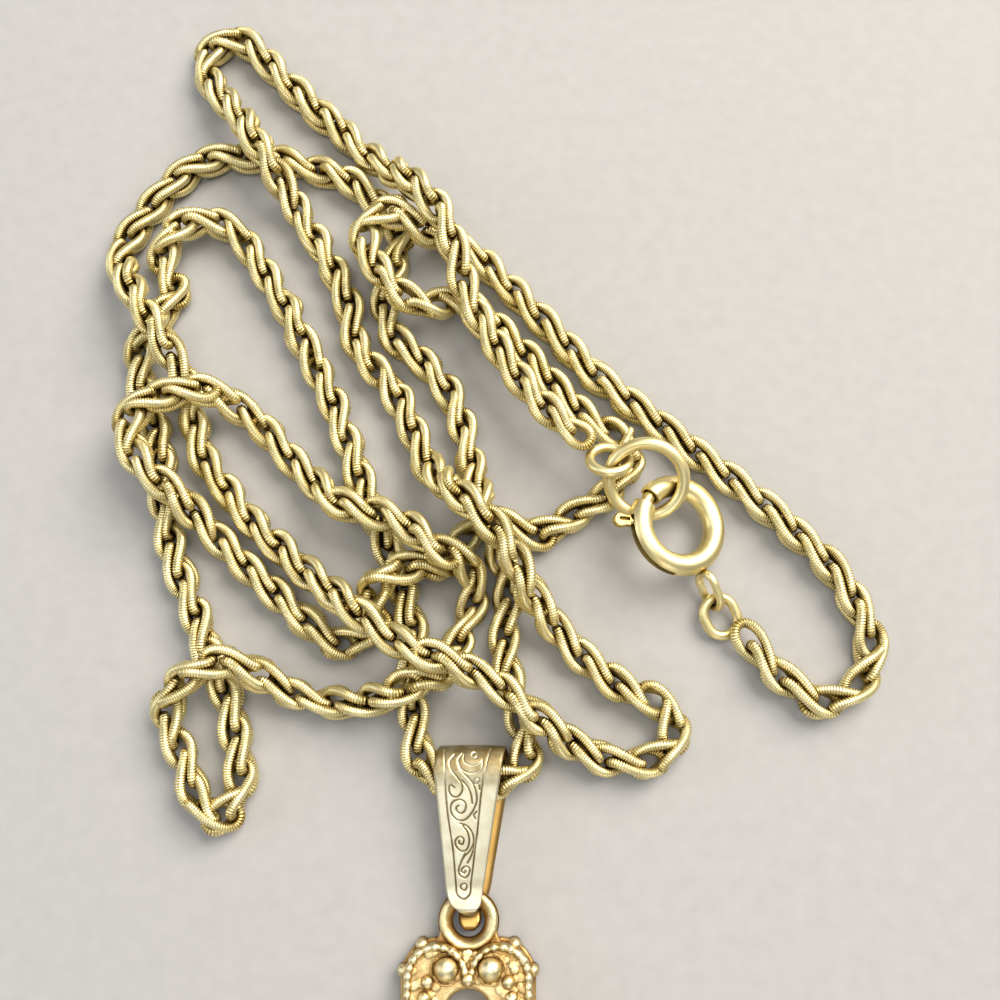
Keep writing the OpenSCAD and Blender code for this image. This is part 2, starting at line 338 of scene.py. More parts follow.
def goldMaterial(name, look):
    # Gold plate over brass: metallic, with brown tarnish in blotches and at its points, and painted shade in
    # its cavities and at the points that carry it
    cavityShadeReach, cavityShadeShare = look["cavityShade"]
    blotchSize, blotchShare = look["blotch"]
    scratchSize, scratchRough = look["scratch"]
    clean, stained = look["roughness"]
    bumpStrength, bumpDepth = look["bump"]
    material, tree, shader = newMaterial(name)
    place = addNode(tree, "TexCoord", output="Object")
    storedTarnishAndShade = addNode(tree, "Attribute", {"attribute_name": "tarnish"}, output="Fac")
    # Painted shade: ambient occlusion darkens the colour and raises the roughness in cavities
    around = {"samples": patinaAndShade["cavityShadeSamples"], "Distance": cavityShadeReach * mm}
    bare = addNode(tree, "AmbientOcclusion", around, output="AO")
    paintedCavityShade = addNode(tree, "Math", {"operation": "MULTIPLY_ADD", 1: -cavityShadeShare, 2: cavityShadeShare}, {0: bare})
    blotch = noiseNode(tree, place, blotchSize, patinaAndShade["blotch"])
    amount = {**patinaAndShade["blotchRange"], "To Min": 0.0, "To Max": blotchShare}
    uneven = addNode(tree, "MapRange", amount, {"Value": blotch})
    first = addNode(tree, "Math", {"operation": "ADD"}, {0: storedTarnishAndShade, 1: paintedCavityShade})
    darkening = addNode(tree, "Math", {"operation": "ADD", "use_clamp": True}, {0: first, 1: uneven})
    colour = addNode(tree, "ValToRGB", {"stops": look["stops"]}, {"Fac": darkening})
    scratch = noiseNode(tree, place, scratchSize, patinaAndShade["scratch"])
    span = {"From Min": 0.0, "From Max": 1.0, "To Min": clean, "To Max": stained}
    rough = addNode(tree, "MapRange", span, {"Value": darkening})
    scratched = addNode(tree, "Math", {"operation": "MULTIPLY_ADD", 1: scratchRough}, {0: scratch, 2: rough})
    relief = {"Height": scratch}
    if "grooveDepth" in look:
        groove = addNode(tree, "Attribute", {"attribute_name": "groove"}, output="Fac")
        depth = {"invert": True, "Strength": 1.0, "Distance": look["grooveDepth"] * mm}
        relief["Normal"] = addNode(tree, "Bump", depth, {"Height": groove})
    bump = addNode(tree, "Bump", {"Strength": bumpStrength, "Distance": bumpDepth * mm}, relief)
    shader.inputs["Metallic"].default_value = 1.0
    for socket, source in (("Base Color", colour), ("Roughness", scratched), ("Normal", bump)):
        tree.links.new(source, shader.inputs[socket])
    return material


# Each metal's settings: the colours from clean to darkest, for tarnish and painted shade alike; the width in
# mm of cavities painted darker as painted shade, and how dark; the size in mm of blotches and how brown, and
# of scratches and how rough; the roughness when clean and when darkest; and the strength of its bumps with
# their depth in mm.

# Drawn and knurled brass wire, gold plated: pale where it rubs, and painted brown in the grooves and between
# the links, with tarnish and painted shade
wireMaterial = goldMaterial("goldPlatedKnurledWire", {
    "stops": [(0.0, "#fdf5c6"), (0.25, "#f0e2a8"), (0.5, "#b2984c"), (0.8, "#4e3508"), (1.0, "#201204")],
    "cavityShade": (0.42, 0.65), "blotch": (2.6, 0.12), "scratch": (0.08, 0.10), "roughness": (0.32, 0.5),
    "bump": (0.2, 0.008), "grooveDepth": 0.04,
})
# Burnished tube and round wire, gold plated: smooth, with the fine haze of years of wear
burnishedMaterial = goldMaterial("goldPlatedBurnishedBrass", {
    "stops": [(0.0, "#f9edb6"), (0.3, "#d6c07c"), (0.58, "#8c6a2a"), (0.85, "#382206"), (1.0, "#1c1004")],
    "cavityShade": (0.5, 0.85), "blotch": (1.8, 0.2), "scratch": (0.06, 0.12), "roughness": (0.33, 0.5),
    "bump": (0.25, 0.008),
})
# Rolled strip, thinly plated and rubbed: a greyer champagne gold that shows the pale metal beneath
stripMaterial = goldMaterial("rubbedGoldPlatedStrip", {
    "stops": [(0.0, "#d8d4bc"), (0.25, "#c6be9e"), (0.55, "#8c7c56"), (1.0, "#3a2c1a")],
    "cavityShade": (0.3, 0.3), "blotch": (1.0, 0.22), "scratch": (0.07, 0.14), "roughness": (0.34, 0.52),
    "bump": (0.3, 0.006),
})
# The strip's inner side, where nothing has rubbed the plate: a warm orange gold, painted darker as painted
# shade for the shadow that it lies in
innerStripShadedMaterial = goldMaterial("unwornAndShadedGoldPlatedStrip", {
    "stops": [(0.0, "#c8a25e"), (0.4, "#9c7436"), (1.0, "#4a2c10")],
    "cavityShade": (0.3, 0.3), "blotch": (1.2, 0.2), "scratch": (0.05, 0.12), "roughness": (0.28, 0.5),
    "bump": (0.22, 0.006),
})
# Cast brass, gold plated: rich on the high places, orange and brown round the grains, darkened there too by
# painted shade in the cavities
castMaterial = goldMaterial("goldPlatedCastBrass", {
    "stops": [(0.0, "#f6eec6"), (0.22, "#e6d6a2"), (0.5, "#b48e50"), (0.8, "#543616"), (1.0, "#221206")],
    "cavityShade": (0.6, 0.6), "blotch": (1.1, 0.2), "scratch": (0.3, 0.14), "roughness": (0.2, 0.48),
    "bump": (0.9, 0.06),
})
print("metals")

# The rope chain: knurled oval links, each through the next, which twist about one another along the rope.
# Its middle line runs from the clasp's end to the end at the jump rings: x and y in mm, and how many strands
# lie beneath where some do, as in the CAD.
route = [
    (18, 5, 0.1), (20, 2.5), (24, 0.5), (26.5, 3.5), (25, 8.5), (21, 13), (14.5, 18.5), (8, 24),
    (3, 29.5), (-2, 34), (-4.5, 34.5, 0.7), (-7, 35.5, 1.1), (-8.5, 33.5, 0.8), (-7, 30.5, 1),
    (-4.5, 28.5, 0.7), (-1.5, 29.5), (2, 26.5), (7.5, 20.5), (10.5, 18), (9, 15), (6.5, 13.5), (4, 12),
    (1.5, 13), (-1, 12), (-2.5, 10, 0.1), (-4, 9.5, 0.7), (-6, 9, 1), (-7.5, 7.5, 0.4), (-7.5, 5),
    (-9.5, 4.5), (-13, 7), (-18.5, 12), (-21, 14.5, 0.9), (-24, 17.5, 0.9), (-24.5, 20, 0.9),
    (-22, 21.5, 1), (-19.5, 22, 0.9), (-17, 21, 0.1), (-12.5, 16.5), (-9, 13.5, 0.9), (-5.5, 12.5, 1.1),
    (-3, 10.5, 1.5), (-1.5, 10, 1.1), (-0.5, 8), (-1.5, 4.5), (-2.5, 2.5, 0.4), (-4.5, 1.5, 1.1),
    (-7.5, 0.5, 0.4), (-12.5, 1), (-17, 3, 1), (-19.5, 2, 0.8), (-21, -0.5), (-19.5, -3.5), (-18.5, -6),
    (-17, -7), (-16, -5), (-16.5, -1), (-19, 5), (-22, 13), (-23, 19), (-24.5, 23.5), (-24.5, 27),
    (-22.5, 30), (-23.5, 33, 0.1), (-22, 35, 0.5), (-19, 35.5, 0.1), (-16.5, 32.5), (-11.5, 23.5),
    (-7.5, 13.5), (-5, 7), (-4.5, 0), (-3.5, -4, 0.2), (0, -5, 0.2), (3, -3.5, 0.2), (2.5, 0),
    (1.5, 4.5), (2, 8.5), (1, 11, 0.6), (0.5, 12.5, 1.1), (-0.5, 16, 0.3), (-1.5, 20.5), (-3.5, 24),
    (-6.5, 27), (-7, 31), (-6, 34), (-7.5, 37), (-12, 40), (-16, 41), (-20.5, 41), (-25, 36.5),
    (-26.5, 33, 0.1), (-25, 29.5, 0.8), (-23, 26.5, 1), (-21, 22.5), (-20, 18.5), (-16, 13),
    (-11.5, 9, 0.4), (-8.5, 6.5, 1.2), (-5, 4, 1.3), (-2.5, 3, 1.7), (0, 2, 1.1), (3, 0, 1),
    (6.5, -2.5, 0.1), (10, -3.5), (13, -2), (12.5, 0), (9.5, 1.5), (5.5, 5, 0.1), (3.5, 7.5, 0.8),
    (2, 10, 1.6), (0.5, 12, 2), (-1.5, 14, 1.8), (-3.5, 16.5, 0.4), (-5, 20), (-6.5, 23), (-8.5, 25),
    (-10, 30), (-14, 37, 0.1), (-16, 40, 1.1), (-18, 43.5, 0.7), (-21, 48), (-21, 50.5), (-18.5, 51),
    (-16, 48.5), (-11, 43.5), (-7.5, 40, 0.4), (-5, 37.5, 1.3), (-2.5, 34, 1.5), (-1, 29, 1),
    (1.5, 24.5, 0.9), (4.5, 20.5, 1), (7, 18.5, 1),
]
# Lengths are in mm and angles in degrees
chain = {
    "restHeight": 1.016, "layerStep": 2.4,  # as in the CAD
    "routeSteps": 24,  # from one point of the route to the next
    "overrun": 0.9,  # of chain past each end of the route
    "wire": 0.71,
    "linkHalfWidth": 0.84,  # from the link's middle to the middle of its side
    "play": 0.02,  # by which a link is longer than its neighbours need
    "roundness": 2.35,  # outline of a link: 2 is an ellipse, and more is squarer
    "outlineSteps": 1440,
    # A place along the rope, and how many links lie before it: they are pulled longer at the clasp's end
    "linksAlong": [(2.0, 0), (14.0, 7.5), (49.7, 31.5), (556.7, 389)],
    "firstTurn": 45,  # of the first link about the rope
    "naturalTurn": 50,  # from link to link before the rope is laid up
    "laidTurn": 90,  # from link to link as it lies
    "headingReach": 0.32,  # share of a link's length, both ways, that gives its heading
    "sideStretch": 1.08, "heightStretch": 0.95,  # the rope is a little flatter than it is wide
    "rollNoise": 7, "tiltNoise": 4,
    "ridges": 56, "ridgeDepth": 0.03,  # rings of the knurl round one link, and their depth
    "stepsPerRing": 4, "sides": 8,
    # The two bands are lengths from the rope's middle line
    "rubbedBand": (0.8, 1.2), "rubbedShare": 0.35,  # where the ridges are worn, and by how much
    "heartBand": (0.2, 0.8), "heartTarnishAndShade": 0.22,  # where the rope's inside is painted browner, as painted shade with tarnish
    # The grooves are painted darker: tarnish, and painted shade for the ridges
    "grooveTarnishAndShade": 0.42,
    # The CAD's runs that each piece stands for
    "pieces": ((0, 6), (6, 12), (12, 18), (18, 23), (23, 28)),
    "seed": 7,
}
# The points of the route where the CAD's runs begin and end
runCuts = [
    0, 3, 9, 12, 16, 19, 24, 28, 34, 37, 42, 46, 51, 54, 59,
    64, 68, 72, 77, 83, 88, 92, 98, 104, 110, 115, 121, 126, 131,
]

routePoints = np.array([(x, y, chain["restHeight"] + chain["layerStep"] * sum(n)) for x, y, *n in route])
ropeLine = curveThrough(routePoints, chain["routeSteps"])
ropeLine[:, 2] = np.maximum(ropeLine[:, 2], chain["restHeight"])
firstPush = unit(ropeLine[0] - ropeLine[1]) * chain["overrun"]
lastPush = unit(ropeLine[-1] - ropeLine[-2]) * chain["overrun"]
ropeLine = np.vstack([ropeLine[0] + firstPush, ropeLine, ropeLine[-1] + lastPush])
ropeAlong = lengthAlong(ropeLine)


def ropeAt(along):
    # The point of the rope's middle line at so many mm from its end
    return np.stack([np.interp(along, ropeAlong, ropeLine[:, k]) for k in range(3)], axis=-1)


placeAlong, linksBefore = np.array(chain["linksAlong"]).T
linkAlong = np.interp(np.arange(linksBefore[-1] + 1), linksBefore, placeAlong)
linkPitch = np.gradient(linkAlong)
linkLength = 2 * linkPitch + 2 * chain["wire"] + chain["play"]
rng = np.random.default_rng(chain["seed"])
rollNoise = rng.normal(0, chain["rollNoise"], len(linkAlong))
tiltNoise = rng.normal(0, 1, (len(linkAlong), 3))


def knurledLinks(chosen):
    # The links of one stretch of the rope, each a ring of wire wound with ridges
    rings = chain["ridges"] * 2
    steps, sides = chain["stepsPerRing"], chain["sides"]
    fine = rings * steps
    a, p, length = linkAlong[chosen], linkPitch[chosen], linkLength[chosen]
    middle = (ropeAt(a - length / 4) + ropeAt(a + length / 4) + 2 * ropeAt(a)) / 4
    ahead = unit(ropeAt(a + chain["headingReach"] * length) - ropeAt(a - chain["headingReach"] * length))
    ahead = unit(ahead + np.radians(chain["tiltNoise"]) * tiltNoise[chosen])
    side = unit(np.cross([0, 0, 1.0], ahead))
    up = np.cross(ahead, side)

    # A link's outline at even steps of its length, twisted about the chain's middle line
    angle = np.linspace(0, 2 * np.pi, chain["outlineSteps"] + 1)
    power = 2 / chain["roundness"]
    c, s = np.cos(angle), np.sin(angle)
    w = chain["linkHalfWidth"] * np.sign(c) * np.abs(c) ** power
    outline = np.sign(s) * np.abs(s) ** power
    points = np.empty((len(chosen), fine, 3))
    flat = np.empty_like(points)
    for i, number in enumerate(chosen):
        z = outline * (length[i] - chain["wire"]) / 2
        run = lengthAlong(np.column_stack([w, z]))
        at = np.linspace(0, run[-1], fine, endpoint=False)
        wi, zi = np.interp(at, run, w), np.interp(at, run, z)
        layAngle = np.radians(chain["firstTurn"] + chain["laidTurn"] * number + rollNoise[number])
        theta = layAngle + np.radians(chain["laidTurn"] - chain["naturalTurn"]) / p[i] * zi
        across = np.cos(theta)[:, None] * side[i] * chain["sideStretch"] \
            + np.sin(theta)[:, None] * up[i] * chain["heightStretch"]
        points[i] = middle[i] + zi[:, None] * ahead[i] + wi[:, None] * across
        flat[i] = -np.sin(theta)[:, None] * side[i] + np.cos(theta)[:, None] * up[i]
    tangents = unit(np.roll(points, -1, axis=1) - np.roll(points, 1, axis=1))
    flat = unit(flat - np.sum(flat * tangents, axis=2, keepdims=True) * tangents)
    second = np.cross(tangents, flat)

    # The wire's surface: rings of points that wind along it as the knurl does, every second one in a groove.
    # Each ring has wound on by two rings, which is one ridge, when it has gone once round the wire.
    j, k = np.meshgrid(np.arange(rings), np.arange(sides), indexing="ij")
    at = (steps * j + k * 2 * steps // sides) % fine
    spin = 2 * np.pi * k / sides
    core = points[:, at]
    direction = np.cos(spin)[..., None] * flat[:, at] + np.sin(spin)[..., None] * second[:, at]
    sunk = j % 2
    fromMiddle = core + chain["wire"] / 2 * direction - middle[:, None, None]
    axis = ahead[:, None, None]
    fromAxis = fromMiddle - np.sum(fromMiddle * axis, axis=3, keepdims=True) * axis
    reach = np.linalg.norm(fromAxis, axis=3)
    groove = sunk * (1 - chain["rubbedShare"] * smoothStep(*chain["rubbedBand"], reach))
    radius = chain["wire"] / 2 - groove * chain["ridgeDepth"]
    vertices = core + radius[..., None] * direction
    sunkBelow = np.maximum(0, -vertices[..., 2].min(axis=(1, 2)))
    vertices[..., 2] += sunkBelow[:, None, None]  # no link goes through the floor
    # Painted shade with tarnish: the rope's inside and the bottoms of the grooves are painted darker
    inHeart = 1 - smoothStep(*chain["heartBand"], reach)
    tarnish = chain["heartTarnishAndShade"] * inHeart + groove * chain["grooveTarnishAndShade"]

    # So the last column of a ring joins the first column of the one two rings on
    wrap = np.where(k + 1 == sides, 2, 0)
    kn, jn = (k + 1) % sides, (j + 1) % rings
    quads = np.stack([j * sides + k, (j + wrap) % rings * sides + kn, (jn + wrap) % rings * sides + kn,
                      jn * sides + k], axis=-1).reshape(-1, 4)
    starts = (np.arange(len(chosen)) * rings * sides)[:, None, None]
    return madePart(vertices.reshape(-1, 3), [(quads[None] + starts).reshape(-1, 4)],
                    tarnish.reshape(-1), groove.reshape(-1))


runStart = ropeAlong[np.array(runCuts) * chain["routeSteps"] + 1]
for number, (first, last) in enumerate(chain["pieces"], 1):
    start = -math.inf if first == 0 else runStart[first]
    end = math.inf if last == len(runCuts) - 1 else runStart[last]
    chosen = np.nonzero((linkAlong >= start) & (linkAlong < end))[0]
    rope = meshPiece(f"ropeChain{number}", knurledLinks(chosen), [wireMaterial])
    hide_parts(*[f"chain_run_{i + 1:02d}" for i in range(first, last)])

# The bail: a tapered strip folded over the chain, with scrolls cut into its front. Lengths are in mm.
bail = {
    # x, y, z of the strip's middle and its width, as in the CAD: the end behind, and the end in front
    "back": [(-0.65, -14.05, 0.56, 0.6), (-0.65, -13.8, 0.56, 1.2), (-0.65, -13.3, 0.5, 1.5),
             (-0.6, -12.85, 0.26, 1.5), (-0.54, -12.3, 0.2, 1.9), (-0.44, -11.4, 0.2, 2.25)],
    "front": [(-0.97, -11.4, 1.9, 2.4), (-0.93, -12.05, 1.9, 2.15), (-0.88, -12.42, 1.9, 1.85),
              (-0.78, -12.72, 1.8, 1.0), (-0.74, -12.86, 1.42, 0.72), (-0.72, -12.86, 1.05, 0.65)],
    "foldY": -3.9, "foldLow": 0.2, "foldTop": 2.95, "foldLowX": -0.2, "foldTopX": -0.8, "topWidth": 4.4,
    "thickness": 0.35, "crown": 0.05,  # and how much the outer side is domed
    "edgeRound": 0.08, "edgeFrom": 0.93,  # how far the edges fall, and from what share of the width
    "foldPoints": 13, "frontFrom": 5,  # points round the fold, and the one where the front begins
    "straightPoints": (0.15, 0.4, 0.65, 0.9),  # shares of the two straight halves where points stand
    "curveSteps": 16,
    "coarseStep": 0.3, "fineStep": 0.038,  # behind, and where the scrolls are cut
    "acrossOuter": 112, "acrossInner": 10,  # points across the two sides of the strip
    "cutWidth": 0.07, "cutDepth": 0.05, "cutFloor": 0.25,  # the last is the share of its width that is flat
    "scrollSteps": 6, "circlePoints": 17,
    # The drawing of the scrolls: its units' width and length, and the plate's top and middle in it
    "unitAcross": 0.0735, "unitAlong": 0.0748, "drawingTop": 13, "plateTop": -2.55, "drawingMiddle": 40,
    "lean": 25 / 1300,  # the middle line drifts to the left on its way down
    "foldShadeBand": (-5.6, -3.6),  # y where the fold's painted shade begins and is full
    "foldShade": 0.38, "brightCut": 0.4, "darkCut": 0.6,
}
scrolls = {
    "border": [(19, 15), (19.5, 30), (20.5, 50), (22.5, 70), (25, 85), (27.5, 100), (29, 115), (30.3, 128),
        (31.6, 136.5), (36.5, 139.5), (41.6, 136.5), (43.4, 126), (44.8, 115), (46.5, 100), (48.5, 85),
        (50, 70), (52, 50), (55.5, 30), (60, 14)],
    "greatSweep": [(35, 18), (31, 24), (32, 30), (37, 36), (43, 42), (47, 50), (47.8, 59), (46, 64), (43, 69),
        (37, 74), (31, 74), (26.5, 70), (25, 64), (27.5, 58.5), (32.5, 57), (37, 59), (38.5, 63),
        (37, 67), (33.5, 68.5), (30, 66), (30.5, 63), (32, 62)],
    "smallSweep": [(28, 19), (23.5, 25), (25, 32), (30, 38), (34.5, 44), (35, 50), (32, 54), (26.5, 54.5),
        (23.5, 50), (24.5, 45), (28, 47)],
    "leafEdge": [(34.5, 41), (40, 47), (43, 54), (44, 60.5)],
    "topArc": [(36.5, 19), (36, 24), (40, 27.5), (45, 28.5), (50, 27), (53, 23.5)],
    "topArcBelow": [(31, 23), (34, 31), (40, 34.5), (46, 34.5), (51, 32), (53, 25)],
    "rightCurl": [(45.5, 44), (46, 40), (49, 39), (50, 42), (47.5, 44)],
    "rightTick": [(50, 45), (50.5, 49)],
    "smallHook": [(48, 67), (45.5, 70), (46.5, 73)],
    "lowerStem": [(33.5, 77), (39, 79), (44, 85), (45.5, 93), (42, 100), (37, 105), (34, 111), (32.5, 116),
        (34, 120.5), (38, 122), (41.5, 119), (42, 115), (39, 112.5), (35.5, 114.5), (35, 117),
        (37.5, 118), (38.5, 116.5)],
    "lowerSpiral": [(36, 79), (40.5, 86), (41.5, 93), (39, 99), (34.5, 100), (30, 96), (29.5, 91), (33, 88),
        (36.5, 90), (36, 94), (33, 94), (32.5, 91.5)],
    "leafTail": [(45.5, 94), (44.5, 101), (42.5, 106), (40, 110)],
    "leafVein": [(38, 102), (34.5, 109)],
}
circles = [(46, 19.5, 2.5), (37, 129.5, 2.7)]  # in the drawing, with their radius


def plateFromDrawing(points):
    # From the units of the drawing to x and y in mm on the front
    points = np.asarray(points, float)
    tipX, tipY = bail["front"][0][:2]
    middle = bail["drawingMiddle"] - (points[:, 1] - bail["drawingTop"]) * bail["lean"]
    y = bail["plateTop"] - (points[:, 1] - bail["drawingTop"]) * bail["unitAlong"]
    stripMiddle = np.interp(y, [tipY, bail["foldY"]], [tipX, bail["foldTopX"]])
    return np.column_stack([stripMiddle + (points[:, 0] - middle) * bail["unitAcross"], y])


def scrollLines():
    # Every cut line as short straight pieces, two ends to a row
    lines = [plateFromDrawing(curveThrough(points, bail["scrollSteps"])) for points in scrolls.values()]
    turn = np.linspace(0, 2 * np.pi, bail["circlePoints"])
    for x, y, r in circles:
        lines.append(plateFromDrawing(polar(r, turn, (x, y))))
    return np.vstack([np.hstack([line[:-1], line[1:]]) for line in lines])


def cutShare(places, segments):
    # 1 in the middle of a cut line, and 0 beside it
    nearest = np.full(len(places), np.inf)
    near = 0.7  # mm, more than half a straight piece and the width of a cut
    for x0, y0, x1, y1 in segments:
        close = np.max(np.abs(places - ((x0 + x1) / 2, (y0 + y1) / 2)), axis=1) < near
        p = places[close]
        length = (x1 - x0) ** 2 + (y1 - y0) ** 2 + 1e-9
        t = np.clip(((p[:, 0] - x0) * (x1 - x0) + (p[:, 1] - y0) * (y1 - y0)) / length, 0, 1)
        gap = np.hypot(p[:, 0] - x0 - t * (x1 - x0), p[:, 1] - y0 - t * (y1 - y0))
        nearest[close] = np.minimum(nearest[close], gap)
    return 1 - smoothStep(bail["cutWidth"] * bail["cutFloor"], bail["cutWidth"], nearest)


def edgeFall(share):
    # How far the surface falls towards the strip's edges, in mm
    past = np.maximum(0, np.abs(share) - bail["edgeFrom"]) / (1 - bail["edgeFrom"])
    return bail["edgeRound"] * past ** 2


def foldedStrip():
    radius = (bail["foldTop"] - bail["foldLow"]) / 2
    turn = np.linspace(0, 1, bail["foldPoints"])
    fold = np.column_stack([
        bail["foldLowX"] + (bail["foldTopX"] - bail["foldLowX"]) * turn,
        bail["foldY"] + radius * np.sin(np.pi * turn),
        bail["foldLow"] + radius - radius * np.cos(np.pi * turn),
        np.full(len(turn), bail["topWidth"]),
    ])
    share = np.array(bail["straightPoints"])[:, None]
    climb = bail["back"][-1] + share * (fold[0] - bail["back"][-1])
    drop = fold[-1] + share * (np.array(bail["front"][0]) - fold[-1])
    line = curveThrough(np.vstack([bail["back"], climb, fold, drop, bail["front"]]), bail["curveSteps"])
    along = lengthAlong(line[:, :3])
    frontStart = along[(len(bail["back"]) + len(climb) + bail["frontFrom"]) * bail["curveSteps"]]
    behind = np.arange(0, frontStart, bail["coarseStep"])
    stations = np.concatenate([behind, np.arange(frontStart, along[-1], bail["fineStep"])])
    x, y, z, width = (np.interp(stations, along, line[:, k]) for k in range(4))
    heading = unit(np.column_stack([0 * x, np.gradient(y), np.gradient(z)]))
    outward = np.column_stack([0 * x, heading[:, 2], -heading[:, 1]])

    # The strip's section: once across its outer side, and back across its inner side
    u = np.linspace(-1, 1, bail["acrossOuter"])
    v = np.linspace(1, -1, bail["acrossInner"])
    outerSide = bail["thickness"] / 2 + bail["crown"] * (1 - u**2) - bail["crown"] / 2 - edgeFall(u)
    innerSide = np.full(len(v), -bail["thickness"] / 2) + edgeFall(v)
    share = np.concatenate([u, v])
    height = np.concatenate([outerSide, innerSide])
    middle = np.column_stack([x, y, z])
    points = middle[:, None] + outward[:, None] * height[None, :, None]
    points[:, :, 0] += share[None] * width[:, None] / 2

    front = stations > frontStart
    cut = np.zeros(points.shape[:2])
    face = points[front, :len(u), :2]
    cut[front, :len(u)] = cutShare(face.reshape(-1, 2), scrollLines()).reshape(face.shape[:2])
    points -= outward[:, None] * (cut * bail["cutDepth"])[..., None]
    across = len(share)
    last = (len(stations) - 1) * across
    faces = [ringWalls(len(stations), across), np.arange(across)[None, ::-1], last + np.arange(across)[None]]
    # The fold is painted browner, as painted shade where the strip curves away, and there the cut lines are
    # the bright ones
    foldShaded = smoothStep(*bail["foldShadeBand"], points[:, :, 1])
    darkening = foldShaded * (bail["foldShade"] - bail["brightCut"] * cut) + (1 - foldShaded) * bail["darkCut"] * cut
    return madePart(points.reshape(-1, 3), faces, darkening.ravel())


def innerFaces(part):
    # The faces that nothing rubs, on the side of the strip that faces its other half, which take the inner
    # metal with its painted shade
    across = bail["acrossOuter"] + bail["acrossInner"]
    column = np.arange(len(part["faces"][0])) % across
    return np.concatenate([(column >= bail["acrossOuter"]) & (column < across - 1), [False, False]])


bothSides = [stripMaterial, innerStripShadedMaterial]
bailPiece = meshPiece("engravedBail", foldedStrip(), bothSides, inner=innerFaces)
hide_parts("bail")

# The cross: two cast layers, a lumpy rim round each quarter, grains, bosses and the hanging ring. Lengths are
# in mm. On an arm, x is from its middle line, and "from" is how far in from its end.
cross = {
    "at": (-0.72, -27.0),  # the middle of the medallion
    "arms": {0: 12.35, 90: 13.4, 180: 24.75, 270: 13.4},  # degrees round from +y, and length
    "armWidth": 4.8, "medallion": 4.4, "endLength": 7.6, "lobe": 2.1, "lobeX": 2.0, "notch": 0.5,
    "layerEdge": 0.22, "backTop": 1.0, "frontTop": 1.9,
    "windowRadius": 1.36, "windowFrom": 2.8, "windowLength": 3.6,
    "slitWidth": 1.6, "slitMargin": 1, "slitLeast": 4,  # only a bar longer than that has a slit
    "rimInset": 0.28, "rimRadius": 0.24, "rimStep": 0.09, "rimSides": 8, "rimEnd": 188,
    "rimLumps": 0.085, "lumpLength": 0.27, "lumpRange": (0.1, 1), "rimTarnish": 0.06, "dipDarkening": 0.3,
    "bossX": 1.4, "bossFrom": 1.6, "bossRadius": 0.8, "bossSteps": 24, "centreBoss": 1.7,
    "domeShare": 0.95, "domePoints": 9, "collarDepth": 0.3,
    "collar": [(0.06, -0.03), (0.12, 0.07), (0.2, 0.06), (0.26, -0.03), (0.16, -0.3)],  # outwards, upwards
    "grainRadius": 0.43, "grainTarnish": 0.05, "raise": 0.02,  # how far grains and rims stand up
    "grainX": 2.75, "grainFrom": 3.3, "grainStep": 0.92, "grainEnd": 0.5,
    "topGrainFrom": 2.2, "cornerGrain": (2.55, 2.35), "rowX": (-0.9, 0, 0.9), "rowGap": 0.45,
    "circleRadius": 3.1, "circleStep": 22.5, "circleShare": 0.9,  # the grains round the medallion's boss
    "beads": [(2.95, 0.2), (4.1, 1.75)],  # x, from
    "beadRadius": 0.44, "beadTop": 1.66, "beadLow": 0.1, "beadSteps": 14, "beadPoints": 7,
    "ringY": 13.6, "ringLow": 0.5, "ringTop": 1.55, "ringRadius": 1.99, "ringHole": 1.03, "ringSteps": 64,
    "webArc": 1.5,
    # The uneven ground of the casting: low lumps where a spot falls between the edges and the windows
    "ground": ((-14, -25), (14, 13)), "groundInset": 0.45, "groundGap": 0.4,
    "lumpTries": 4200, "lumpRadii": (0.24, 0.42), "lumpHeights": (0.03, 0.07), "lumpFoot": 0.04,
    "lumpSteps": 10, "lumpDarkening": [0.16, 0.18, 0.26, 0.34, 0.34],
    "backTarnish": 0.3, "frontTarnish": 0.26,
    "seed": 11,
}


def arc(centre, radius, start, end, step=7):
    # Angles in degrees
    turn = np.radians(np.linspace(start, end, max(2, int(abs(end - start) / step)) + 1))
    return polar(radius, turn, centre)


def turned(points, degrees):
    # Flat points turned anticlockwise
    a = math.radians(degrees)
    return np.asarray(points) @ np.array([[math.cos(a), math.sin(a)], [-math.sin(a), math.cos(a)]])


def armSide(length, edge, innerEnd):
    # The right side of an arm: the medallion, the bar, the lower lobe and the upper lobe
    low = length - cross["endLength"] + cross["lobe"]
    barX = cross["armWidth"] / 2 + edge
    rim, lobe = cross["medallion"] + edge, cross["lobe"] + edge
    leave = math.degrees(math.acos(barX / rim))
    meet = -math.degrees(math.acos((barX - cross["lobeX"]) / lobe))
    return np.vstack([
        arc((0, 0), rim, 45, leave),
        arc((cross["lobeX"], low), lobe, meet, 0),
        arc((cross["lobeX"], length - cross["lobe"]), lobe, 0, innerEnd),
    ])


def crossOutline(edge):
    innerEnd = 180 - math.degrees(math.asin((cross["lobe"] - cross["notch"]) / (cross["lobe"] + edge)))
    loops = []
    for degrees, length in cross["arms"].items():
        right = armSide(length, edge, innerEnd)
        left = (right * (-1, 1))[::-1]
        loops.append(turned(np.vstack([right, left[:-1]]), degrees))
    return np.vstack(loops)


def roundSlot(width, top, length):
    r = width / 2
    return np.vstack([arc((0, top - length + r), r, 180, 360), arc((0, top - r), r, 0, 180)])


def crossWindows(edge=0.0):
    # The slots of all four arms, each wider by edge all round
    holes = []
    for degrees, length in cross["arms"].items():
        slots = [(2 * cross["windowRadius"], length - cross["windowFrom"], cross["windowLength"])]
        bar = length - cross["endLength"] - cross["medallion"]
        if bar > cross["slitLeast"]:
            margin = cross["slitMargin"]
            slots.append((cross["slitWidth"], length - cross["endLength"] - margin, bar - 2 * margin))
        for width, top, long in slots:
            holes.append(turned(roundSlot(width + 2 * edge, top + edge, long + 2 * edge), degrees))
    return holes


